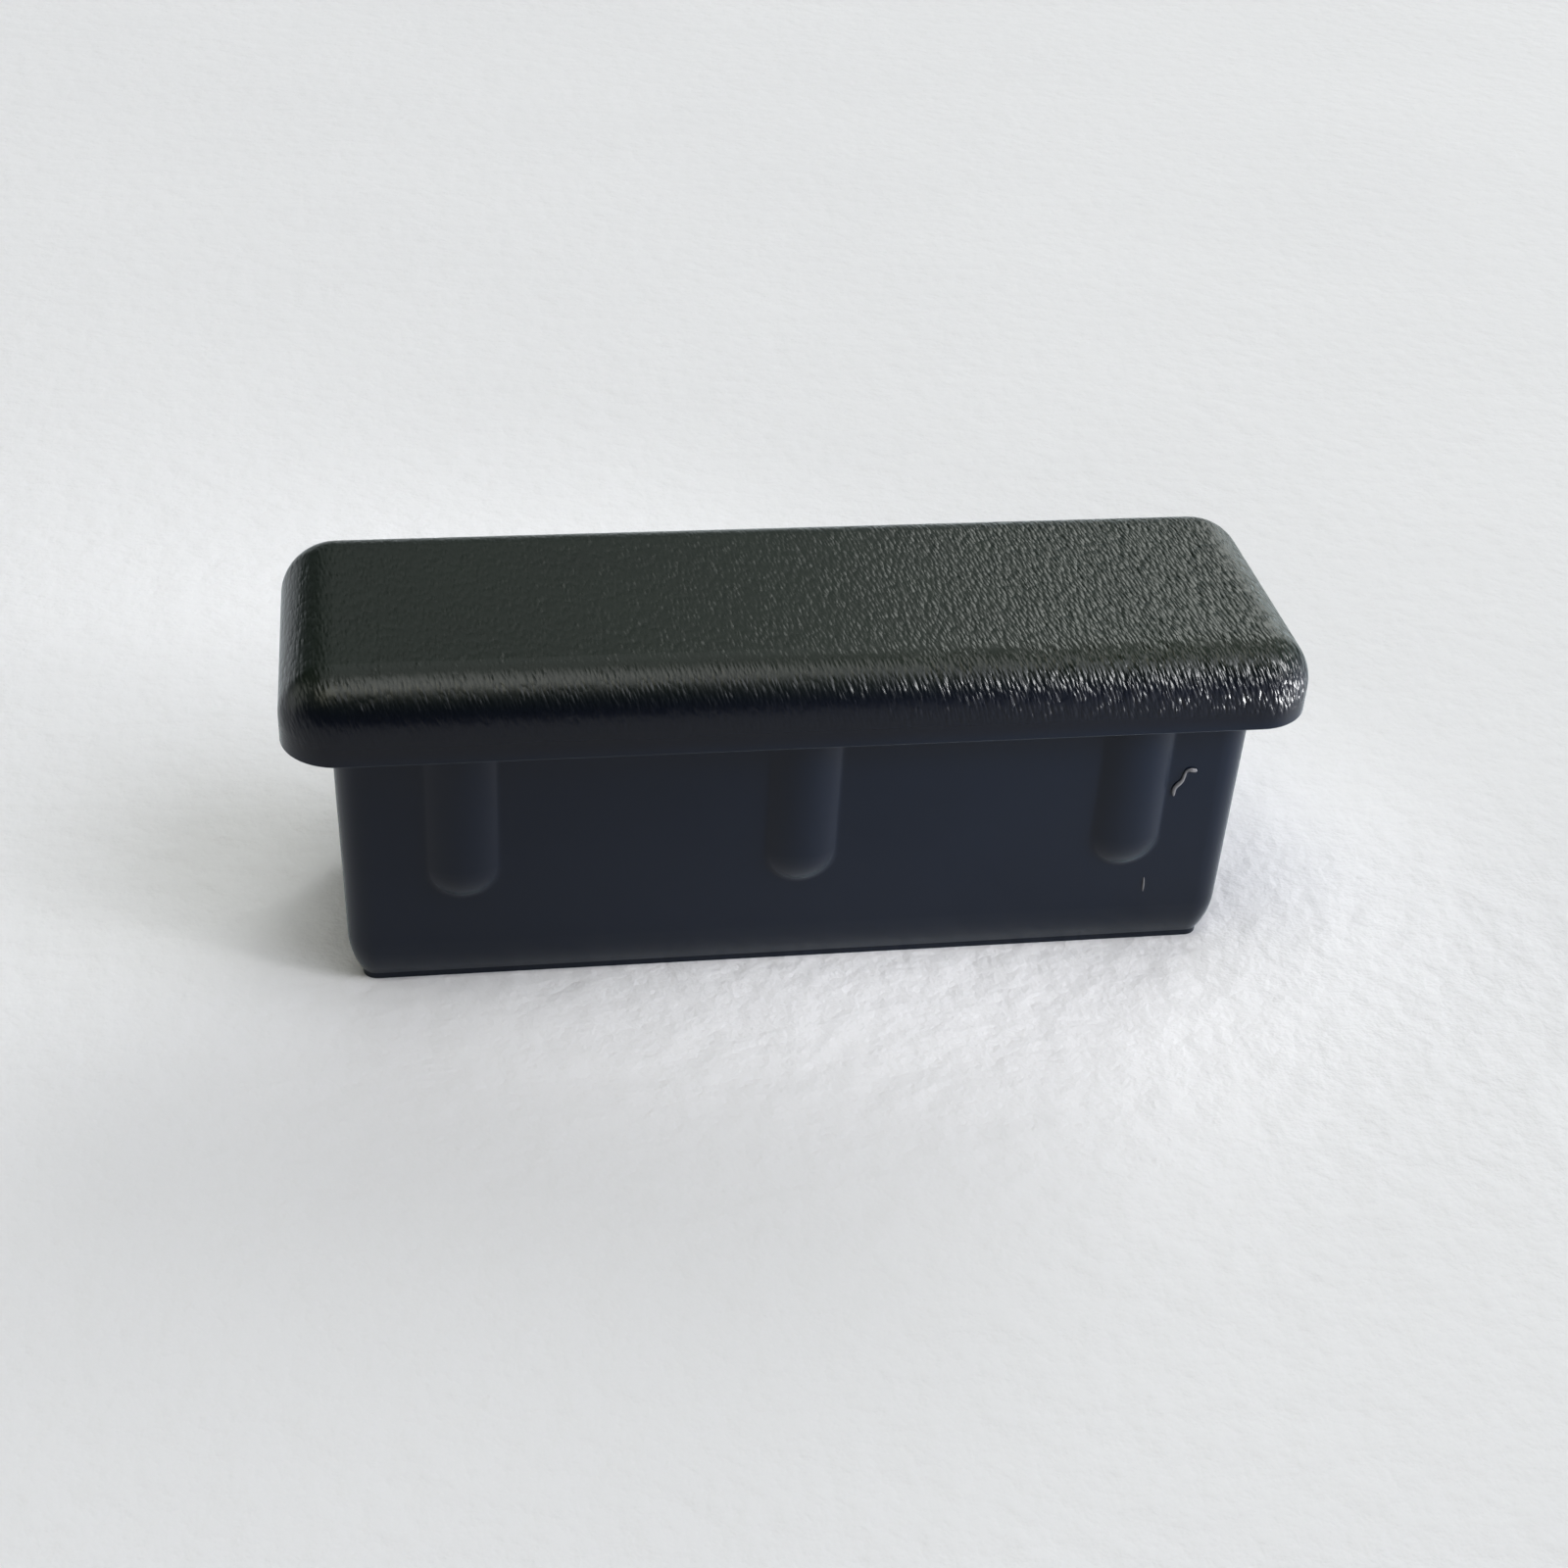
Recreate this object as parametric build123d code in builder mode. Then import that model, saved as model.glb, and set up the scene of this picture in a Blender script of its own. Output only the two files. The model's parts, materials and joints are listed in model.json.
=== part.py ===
"""End cap for a rectangular steel tube: one hollow moulding.

A head with a soft crown covers the end of the tube. Below it a drafted plug enters the
tube, gripped by three domed ribs on each long side and guided in by a rounded lead-in.

Frame, in millimetres: X runs along the head, Y across it, Z up. The cap stands on its
open rim at Z = 0, head uppermost, with the middle of the plan on the Z axis.
"""
import os
from math import radians, tan

from build123d import *

# Head, which covers the end of the tube
head_length = 60.0
head_width = 20.0
head_thickness = 4.8
head_corner_radius = 3.4      # corners seen from above
crown_radius = 3.2            # soft edge round the top face
seat_edge_radius = 0.1        # edge round the underside

# Ledge of the head that lies on the tube's end, measured outwards from the plug
end_ledge = 2.8
side_ledge = 2.2

# Plug, from the underside of the head down to the rim
plug_depth = 17.4
plug_corner_radius = 2.0      # at the head
plug_draft = 1.2              # degrees, each side leans in towards the rim
lead_in_height = 2.6          # rounded stretch that guides the plug into the tube
lead_in_inset = 0.7
lip_height = 0.45             # upright edge below the lead-in
lip_inset = 0.08

# Hollow, open at the rim
wall_thickness = 2.0          # at the head
mouth_corner_radius = 1.5
hollow_draft = 0.5            # degrees, the hollow narrows towards the head
roof_thickness = 3.0
roof_blend_radius = 1.0

# Grip ribs: round rods with ball ends, sunk in the long sides
ribs_per_side = 3
rib_inset = 7.2               # from the end of the plug to the middle of the nearest rib
rib_radius = 3.35
rib_rise = 0.75               # how far a rib stands out of the side
rib_straight = 8.75           # from the head down to the middle of the ball end
rib_foot_radius = 0.5         # hollow blend between a rib and the side

# Plug at the head and where its straight sides meet the lead-in
plug_length = head_length - 2 * end_ledge
plug_width = head_width - 2 * side_ledge
plug_slope = tan(radians(plug_draft))
lead_in_top = lip_height + lead_in_height
side_height = plug_depth - lead_in_top
lead_in_length = plug_length - 2 * plug_slope * side_height
lead_in_width = plug_width - 2 * plug_slope * side_height
lead_in_corner_radius = plug_corner_radius - plug_slope * side_height
corner_x = lead_in_length / 2 - lead_in_corner_radius
corner_y = lead_in_width / 2 - lead_in_corner_radius

# Lip
lip_corner_radius = lead_in_corner_radius - lead_in_inset - lip_inset
lip_length = 2 * (corner_x + lip_corner_radius)
lip_width = 2 * (corner_y + lip_corner_radius)

# Hollow at the rim
hollow_flare = tan(radians(hollow_draft)) * plug_depth
mouth_length = plug_length - 2 * wall_thickness + 2 * hollow_flare
mouth_width = plug_width - 2 * wall_thickness + 2 * hollow_flare
hollow_depth = plug_depth + head_thickness - roof_thickness

# Ribs: their even spacing, the middle line of each rod and how far the row reaches
rib_pitch = (plug_length - 2 * rib_inset) / (ribs_per_side - 1)
rib_axis_y = plug_width / 2 + rib_rise - rib_radius
rib_row_end = plug_length / 2 - rib_inset + rib_radius
rib_bottom = plug_depth - rib_straight - rib_radius
rib_planes = (
    Plane((0, -rib_axis_y, plug_depth), x_dir=(1, 0, 0), z_dir=(0, -plug_slope, 1)),
    Plane((0, rib_axis_y, plug_depth), x_dir=(-1, 0, 0), z_dir=(0, plug_slope, 1)),
)

with BuildPart() as head:
    with BuildSketch(Plane.XY.offset(plug_depth)):
        RectangleRounded(head_length, head_width, head_corner_radius)
    extrude(amount=head_thickness)
    top_edges = head.faces().sort_by(Axis.Z)[-1].edges()
    seat_edges = head.faces().sort_by(Axis.Z)[0].edges()
    fillet(top_edges, crown_radius)
    fillet(seat_edges, seat_edge_radius)

# Section of the lead-in, from a corner's upright axis out to the side it meets
with BuildSketch() as curve_section:
    with BuildLine():
        curve_top = (lead_in_corner_radius, lead_in_height)
        curve_end = (lead_in_corner_radius - lead_in_inset, 0)
        TangentArc(curve_top, curve_end, tangent=(-plug_slope, -1))
        Polyline(curve_end, (0, 0), (0, lead_in_height), curve_top)
    make_face()

# Lead-in: one quarter of it, then its mirror images
with BuildPart() as lead_in:
    with BuildSketch(Plane.XZ.offset(-corner_y)):
        with Locations((corner_x, lip_height)):
            add(curve_section.sketch_local)
    revolve(axis=Axis((corner_x, corner_y, 0), (0, 0, 1)), revolution_arc=90)
    with BuildSketch(Plane.XZ.offset(-corner_y)):
        with Locations((corner_x, lip_height)):
            add(curve_section.sketch_local)
    extrude(amount=corner_y)
    with BuildSketch(Plane.YZ.offset(corner_x)):
        with Locations((corner_y, lip_height)):
            add(curve_section.sketch_local)
    extrude(amount=-corner_x)
    with BuildSketch(Plane.XY.offset(lip_height)):
        Rectangle(corner_x, corner_y, align=(Align.MIN, Align.MIN))
    extrude(amount=lead_in_height)
    mirror(about=Plane.XZ)
    mirror(about=Plane.YZ)

with BuildPart() as end_cap:
    # Straight drafted sides of the plug
    with BuildSketch(Plane.XY.offset(plug_depth)):
        RectangleRounded(plug_length, plug_width, plug_corner_radius)
    extrude(amount=-side_height, taper=plug_draft)

    # Grip ribs, leaning with the sides and cut off level with the head's underside
    for rib_plane in rib_planes:
        with BuildSketch(rib_plane.offset(rib_rise)):
            with GridLocations(rib_pitch, rib_pitch, ribs_per_side, 1):
                Circle(rib_radius)
        extrude(amount=-(rib_rise + rib_straight))
        with Locations(rib_plane.offset(-rib_straight)):
            with GridLocations(rib_pitch, rib_pitch, ribs_per_side, 1):
                Sphere(rib_radius)
    split(bisect_by=Plane.XY.offset(plug_depth), keep=Keep.BOTTOM)
    rib_feet = (
        end_cap.edges()
        .filter_by_position(Axis.X, -rib_row_end, rib_row_end)
        .filter_by_position(Axis.Y, -plug_width / 2, plug_width / 2)
        .filter_by_position(Axis.Z, rib_bottom, plug_depth - rib_rise)
    )
    fillet(rib_feet, rib_foot_radius)

    # Lead-in, lip and head
    add(lead_in.part)
    with BuildSketch():
        RectangleRounded(lip_length, lip_width, lip_corner_radius)
    extrude(amount=lip_height)
    add(head.part)

    # Hollow
    with BuildSketch():
        RectangleRounded(mouth_length, mouth_width, mouth_corner_radius)
    extrude(amount=hollow_depth, taper=hollow_draft, mode=Mode.SUBTRACT)
    level_faces = end_cap.faces().filter_by(Axis.Z)
    roof = level_faces.filter_by_position(Axis.Z, hollow_depth, hollow_depth)
    fillet(roof.edges(), roof_blend_radius)

end_cap.part.label = "end_cap"
os.makedirs("parts", exist_ok=True)
export_step(end_cap.part, "parts/end_cap.step")
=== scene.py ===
"""Looks of the tube end cap: a black plastic moulding that stands on a pale table.

Lengths are in metres where nothing else is said. Azimuth 0 is the near side, where the camera
stands, and azimuth 90 is the right.
"""
import json
from math import cos, pi, radians, sin

import bpy
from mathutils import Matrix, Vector


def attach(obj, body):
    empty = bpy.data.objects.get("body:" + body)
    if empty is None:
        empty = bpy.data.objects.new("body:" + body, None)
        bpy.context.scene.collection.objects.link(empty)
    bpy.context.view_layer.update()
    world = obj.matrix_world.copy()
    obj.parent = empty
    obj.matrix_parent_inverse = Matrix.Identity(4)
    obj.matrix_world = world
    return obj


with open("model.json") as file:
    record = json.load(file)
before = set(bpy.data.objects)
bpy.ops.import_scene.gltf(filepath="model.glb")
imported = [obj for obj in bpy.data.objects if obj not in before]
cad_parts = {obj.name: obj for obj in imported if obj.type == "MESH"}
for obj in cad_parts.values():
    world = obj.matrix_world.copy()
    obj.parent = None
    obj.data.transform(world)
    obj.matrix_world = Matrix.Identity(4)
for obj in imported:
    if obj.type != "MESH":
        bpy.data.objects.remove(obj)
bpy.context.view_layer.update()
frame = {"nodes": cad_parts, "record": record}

MM = 0.001

# The moulding
mounts = {mount["name"]: mount for mount in frame["record"]["mounts"]}
SEAT = mounts["seat"]["pos_m"][2]                     # height of the head's underside
PLUG_HALF_WIDTH = 7.8                                 # mm, at the head
PLUG_SLOPE = 0.02095                                  # how far the front leans in, per mm down

# Heights between which one finish turns into the next; the colour steps among them are painted light and
# shade
HEAD_PAINTED_SHADE_HEIGHTS = (SEAT - 0.1 * MM, SEAT + 0.9 * MM)
GRAIN_HEIGHTS = (SEAT + 0.3 * MM, SEAT + 2.4 * MM)
CROWN_PAINTED_REFLECTION_HEIGHTS = (SEAT + 2.6 * MM, SEAT + 4.6 * MM)

# Grain of the head: pimples drawn out into slanted strokes, which grow bolder to the right
GRAIN_GROWTH = (-2 * MM, 22 * MM)                     # X between which they grow
FINE_GRAIN = 0.8
BOLD_GRAIN = 2.6
STROKE_TURN = (0.0, -0.30, 0.10)                      # radians about X, Y and Z
STROKE_STRETCH = (1.0, 3.6, 3.6)                      # times, along the turned X, Y and Z
PIMPLE_SHARE = -0.8                                   # of the relief; their field is lowest at the tip
WAVINESS_SHARE = 0.6
UNEVENNESS_SHARE = 0.04

# Two shades of each colour, which soft clouds mix. The moulding is one black plastic: the crown's
# green-black is a painted greenish reflection, the head side's deeper blue-black is painted shade, and
# the plug's blue-black is black with a painted cool light tint
CROWN_PAINTED_REFLECTION_COLOURS = ((0.003, 0.006, 0.003, 1), (0.006, 0.012, 0.006, 1))
HEAD_SIDE_PAINTED_SHADE_COLOURS = ((0.002, 0.004, 0.010, 1), (0.003, 0.005, 0.013, 1))
PLUG_PAINTED_COOL_LIGHT_COLOURS = ((0.002, 0.007, 0.019, 1), (0.004, 0.010, 0.025, 1))
SHAVING_COLOURS = ((0.09, 0.09, 0.10, 1), (0.22, 0.22, 0.23, 1))
TABLE_COLOURS = ((0.69, 0.69, 0.715, 1), (0.73, 0.73, 0.755, 1))

PLUG_ROUGHNESS = 0.23
HEAD_ROUGHNESS = 0.30
RUBBED_ROUGHNESS = 0.04                               # most that a rubbed place adds

# Shavings on the plug's front: X, Z, stand-off and half width of each point, in mm
CURL = ((23.85, 13.15, 0.04, 0.05), (23.72, 13.26, 0.08, 0.10), (23.45, 13.31, 0.09, 0.10),
        (23.22, 13.30, 0.06, 0.07), (23.13, 13.08, 0.05, 0.06), (23.10, 12.74, 0.05, 0.07),
        (23.00, 12.44, 0.05, 0.09), (22.74, 12.23, 0.06, 0.11), (22.60, 11.97, 0.06, 0.09),
        (22.60, 11.70, 0.05, 0.08), (22.67, 11.36, 0.02, 0.04))
SLIVER = ((21.65, 5.33, 0.01, 0.02), (21.67, 5.05, 0.02, 0.04), (21.69, 4.75, 0.03, 0.05),
          (21.70, 4.45, 0.02, 0.04), (21.72, 4.18, 0.01, 0.02))
WIDENING = 1.8                                        # of every half width above
FLATNESS = 0.6                                        # thickness over width
SECTION_SIDES = 6
ROUNDING_LEVELS = 2

TABLE_REACH = 1.5                                     # from the middle to each side

CAMERA_PLACE = (-23.25, -126.77, 94.40)               # mm
CAMERA_TURN = (56.214, -2.776, -8.608)                # degrees
CAMERA_LENS = 57.2047                                 # mm
CAMERA_SENSOR = 36.0                                  # mm wide

# Soft lights of the room: azimuth, elevation, degrees of full light, degrees to the edge, colour
SOFT_LIGHTS = (
    (142.0, 27.0, 5.0, 22.0, (4.10, 4.18, 4.06)),
    (180.0, 28.0, 5.0, 22.0, (0.22, 0.24, 0.23)),
    (180.0, 54.0, 9.0, 28.0, (1.00, 1.05, 1.05)),
    (-105.0, 20.0, 6.0, 26.0, (1.58, 1.62, 1.46)),
    (62.0, 52.0, 8.0, 23.0, (4.10, 4.15, 4.40)),
    (-60.0, 86.0, 4.0, 25.0, (4.00, 4.06, 4.00)),
    (-50.0, 66.0, 0.0, 18.0, (3.30, 3.20, 2.60)),
)
HORIZON_COLOUR = (0.78, 0.80, 0.83)
HORIZON_FADE = (0.03, 0.10)                           # sine of the elevations between which it fades

# Numbers of the colour sockets on Blender's Mix node
MIX_FIRST, MIX_SECOND, MIX_RESULT = 6, 7, 2

scene = bpy.context.scene
scene.view_settings.view_transform = "Standard"
scene.view_settings.gamma = 0.85


class Nodes:
    """Short calls for the nodes of one material or world."""

    def __init__(self, tree):
        self.nodes, self.links = tree.nodes, tree.links

    def new(self, kind, inputs=(), **settings):
        """Adds a node. An input is a plain value or another node's output."""
        node = self.nodes.new(kind)
        for name, value in settings.items():
            setattr(node, name, value)
        for key, value in dict(inputs).items():
            self.put(node.inputs[key], value)
        return node

    def put(self, socket, value):
        if isinstance(value, bpy.types.NodeSocket):
            self.links.new(value, socket)
        else:
            socket.default_value = value

    def place(self):
        return self.new("ShaderNodeTexCoord").outputs["Object"]

    def axis(self, vector, name):
        return self.new("ShaderNodeSeparateXYZ", inputs={0: vector}).outputs[name]

    def math(self, operation, *values):
        return self.new("ShaderNodeMath", dict(enumerate(values)), operation=operation).outputs[0]

    def vector_math(self, operation, result, inputs):
        return self.new("ShaderNodeVectorMath", inputs, operation=operation).outputs[result]

    def ramp(self, value, start, end, low=0.0, high=1.0):
        """Smooth step of value from low at start to high at end."""
        return self.new("ShaderNodeMapRange", interpolation_type="SMOOTHSTEP", inputs={
            "Value": value, "From Min": start, "From Max": end,
            "To Min": low, "To Max": high}).outputs["Result"]

    def mix(self, share, first, second):
        """Colour that is first where share is 0 and second where it is 1."""
        return self.new("ShaderNodeMix", data_type="RGBA", inputs={
            "Factor": share, MIX_FIRST: first, MIX_SECOND: second}).outputs[MIX_RESULT]

    def noise(self, place, scale, detail, roughness):
        """Random clouds from 0 to 1; scale is how many of them fit in a metre."""
        return self.new("ShaderNodeTexNoise", inputs={
            "Vector": place, "Scale": scale, "Detail": detail,
            "Roughness": roughness}).outputs["Fac"]

    def bump(self, height, strength, distance):
        return self.new("ShaderNodeBump", inputs={
            "Height": height, "Strength": strength, "Distance": distance}).outputs["Normal"]


def new_material(name):
    material = bpy.data.materials.new(name)
    material.use_nodes = True
    return material, Nodes(material.node_tree), material.node_tree.nodes["Principled BSDF"]


def new_object(name, data):
    piece = bpy.data.objects.new(name, data)
    scene.collection.objects.link(piece)
    return piece


def moulding_relief(kit, place, on_head):
    """Spark-eroded grain on the head, over a fine unevenness of the whole skin."""
    slanted = kit.new("ShaderNodeMapping", vector_type="TEXTURE", inputs={
        "Vector": place, "Rotation": STROKE_TURN, "Scale": STROKE_STRETCH}).outputs["Vector"]
    pimples = kit.new("ShaderNodeTexVoronoi", inputs={
        "Vector": slanted, "Scale": 4800.0}).outputs["Distance"]
    waviness = kit.noise(slanted, scale=3000.0, detail=2.0, roughness=0.5)
    grain = kit.math("ADD", kit.math("MULTIPLY", pimples, PIMPLE_SHARE),
                     kit.math("MULTIPLY", waviness, WAVINESS_SHARE))

    growth = kit.ramp(kit.axis(place, "X"), *GRAIN_GROWTH, low=FINE_GRAIN, high=BOLD_GRAIN)
    cloud = kit.noise(place, scale=1300.0, detail=1.0, roughness=0.5)
    patches = kit.ramp(cloud, start=0.35, end=0.65, low=0.5, high=1.3)
    boldness = kit.math("MULTIPLY", kit.math("MULTIPLY", growth, patches), on_head)
    grain = kit.math("MULTIPLY", grain, boldness)

    unevenness = kit.noise(place, scale=5200.0, detail=2.0, roughness=0.5)
    relief = kit.math("MULTIPLY_ADD", unevenness, UNEVENNESS_SHARE, grain)
    return kit.bump(relief, strength=1.0, distance=0.05 * MM)


def moulding_colour_with_painted_light(kit, place, height):
    """Near-black throughout, with painted light: a painted cool light tint on the plug, painted shade on
    the head's side and a painted greenish reflection on the crown.
    """
    cloud = kit.noise(place, scale=160.0, detail=3.0, roughness=0.6)
    # Painted greenish reflection on the crown, over the painted shade of the head's side
    crown_reflection_share = kit.ramp(height, *CROWN_PAINTED_REFLECTION_HEIGHTS)
    head = kit.mix(crown_reflection_share, kit.mix(cloud, *HEAD_SIDE_PAINTED_SHADE_COLOURS), kit.mix(cloud, *CROWN_PAINTED_REFLECTION_COLOURS))
    # Painted cool light tint on the plug, turning to the painted shade of the head's side
    return kit.mix(kit.ramp(height, *HEAD_PAINTED_SHADE_HEIGHTS), kit.mix(cloud, *PLUG_PAINTED_COOL_LIGHT_COLOURS), head)


def moulded_plastic():
    """Black plastic: grained on the head, plain satin on the plug."""
    material, kit, shader = new_material("black_moulding")
    place = kit.place()
    height = kit.axis(place, "Z")
    on_head = kit.ramp(height, *GRAIN_HEIGHTS)
    kit.put(shader.inputs["Normal"], moulding_relief(kit, place, on_head))
    # The base colour carries painted light and shade that change with height
    kit.put(shader.inputs["Base Color"], moulding_colour_with_painted_light(kit, place, height))
    unrubbed = kit.ramp(on_head, start=0.0, end=1.0, low=PLUG_ROUGHNESS, high=HEAD_ROUGHNESS)
    rubbing = kit.noise(place, scale=420.0, detail=3.0, roughness=0.6)
    roughness = kit.math("ADD", unrubbed, kit.math("MULTIPLY", rubbing, RUBBED_ROUGHNESS))
    kit.put(shader.inputs["Roughness"], roughness)
    shader.inputs["IOR"].default_value = 1.45
    shader.inputs["Sheen Weight"].default_value = 0.35
    shader.inputs["Sheen Roughness"].default_value = 0.3
    shader.inputs["Sheen Tint"].default_value = (0.8, 0.95, 1.0, 1.0)
    return material


def scraped_plastic():
    """Pale, ragged plastic of a shaving lifted from the skin."""
    material, kit, shader = new_material("pale_shaving")
    fleck = kit.noise(kit.place(), scale=3000.0, detail=3.0, roughness=0.6)
    kit.put(shader.inputs["Base Color"], kit.mix(fleck, *SHAVING_COLOURS))
    kit.put(shader.inputs["Roughness"], kit.ramp(fleck, start=0.0, end=1.0, low=0.45, high=0.65))
    kit.put(shader.inputs["Normal"], kit.bump(fleck, strength=0.6, distance=0.03 * MM))
    return material


def table_paper():
    """White, faintly fibrous paper."""
    material, kit, shader = new_material("table")
    place = kit.place()
    cloud = kit.noise(place, scale=30.0, detail=4.0, roughness=0.55)
    fibre = kit.noise(place, scale=420.0, detail=4.0, roughness=0.55)
    kit.put(shader.inputs["Base Color"], kit.mix(cloud, *TABLE_COLOURS))
    kit.put(shader.inputs["Normal"], kit.bump(fibre, strength=0.9, distance=0.4 * MM))
    shader.inputs["Roughness"].default_value = 0.75
    return material


def on_front(x, z, stand_off):
    """Point at a stand-off from the plug's leaning front; all in mm."""
    half_width = PLUG_HALF_WIDTH - PLUG_SLOPE * (SEAT / MM - z)
    return Vector((x, -half_width - stand_off, z))


def shaving(name, route, material):
    """Flattened thread of plastic that lies along its route on the plug's front."""
    outward = Vector((0, -1, 0))
    centres = [on_front(x, z, stand_off) for x, z, stand_off, _ in route]
    points = []
    for index, centre in enumerate(centres):
        before, after = centres[max(index - 1, 0)], centres[min(index + 1, len(centres) - 1)]
        across = (after - before).cross(outward).normalized()
        half_width = route[index][3] * WIDENING
        for side in range(SECTION_SIDES):
            turn = 2 * pi * side / SECTION_SIDES
            aside = across * cos(turn) * half_width
            proud = outward * sin(turn) * half_width * FLATNESS
            points.append((centre + aside + proud) * MM)

    faces = []
    last_ring = len(points) - SECTION_SIDES
    for ring in range(0, last_ring, SECTION_SIDES):
        for side in range(SECTION_SIDES):
            first, second = ring + side, ring + (side + 1) % SECTION_SIDES
            faces.append((first, second, second + SECTION_SIDES, first + SECTION_SIDES))
    faces.append(tuple(reversed(range(SECTION_SIDES))))
    faces.append(tuple(range(last_ring, len(points))))

    mesh = bpy.data.meshes.new(name)
    mesh.from_pydata(points, [], faces)
    mesh.shade_smooth()
    mesh.materials.append(material)
    piece = new_object(name, mesh)
    rounding = piece.modifiers.new("smooth", "SUBSURF")
    rounding.levels = rounding.render_levels = ROUNDING_LEVELS
    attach(piece, "root")


def table():
    corners = [(x * TABLE_REACH, y * TABLE_REACH, 0) for x, y in ((-1, -1), (1, -1), (1, 1), (-1, 1))]
    mesh = bpy.data.meshes.new("table")
    mesh.from_pydata(corners, [], [(0, 1, 2, 3)])
    mesh.materials.append(table_paper())
    new_object("table", mesh)


def camera():
    data = bpy.data.cameras.new("camera")
    data.sensor_width = CAMERA_SENSOR
    data.lens = CAMERA_LENS
    data.clip_start = 5 * MM
    piece = new_object("camera", data)
    piece.location = Vector(CAMERA_PLACE) * MM
    piece.rotation_euler = [radians(angle) for angle in CAMERA_TURN]
    scene.camera = piece


def panel(name, place, aim, width, height, radiance, spread):
    """Soft panel near the cap that the camera doesn't see; lengths in mm, spread in degrees."""
    data = bpy.data.lights.new(name, "AREA")
    data.shape = "RECTANGLE"
    data.size, data.size_y = width * MM, height * MM
    data.energy = pi * data.size * data.size_y * radiance
    data.spread = radians(spread)
    piece = new_object(name, data)
    piece.location = Vector(place) * MM
    piece.rotation_euler = (Vector(aim) - Vector(place)).to_track_quat("-Z", "Y").to_euler()
    piece.visible_camera = False


def direction(azimuth, elevation):
    """Unit vector towards an azimuth and elevation in degrees."""
    level = cos(radians(elevation))
    return (level * sin(radians(azimuth)), -level * cos(radians(azimuth)), sin(radians(elevation)))


def room():
    """Soft lights round and above the cap, over a pale band along the horizon."""
    world = bpy.data.worlds.new("room")
    world.use_nodes = True
    scene.world = world
    kit = Nodes(world.node_tree)
    sky = kit.new("ShaderNodeTexCoord").outputs["Generated"]
    band = kit.ramp(kit.axis(sky, "Z"), *HORIZON_FADE, low=1.0, high=0.0)
    light = kit.vector_math("SCALE", "Vector", {0: HORIZON_COLOUR, "Scale": band})
    for azimuth, elevation, full, edge, colour in SOFT_LIGHTS:
        facing = kit.vector_math("DOT_PRODUCT", "Value", {0: sky, 1: direction(azimuth, elevation)})
        share = kit.ramp(facing, cos(radians(edge)), cos(radians(full)))
        glow = kit.vector_math("SCALE", "Vector", {0: colour, "Scale": share})
        light = kit.vector_math("ADD", "Vector", {0: light, 1: glow})
    kit.put(world.node_tree.nodes["Background"].inputs["Color"], light)


cap = frame["nodes"]["end_cap"]
black = moulded_plastic()
for slot in cap.material_slots:
    slot.material = black
pale = scraped_plastic()
shaving("curled_shaving", CURL, pale)
shaving("thin_sliver", SLIVER, pale)
table()
camera()
room()
panel("low_panel", place=(86, -28, 7), aim=(10, -6, 32), width=30, height=12, radiance=7.0, spread=60)
panel("high_panel", place=(72, -42, 60), aim=(27, -9, 24), width=40, height=30, radiance=1.25, spread=30)
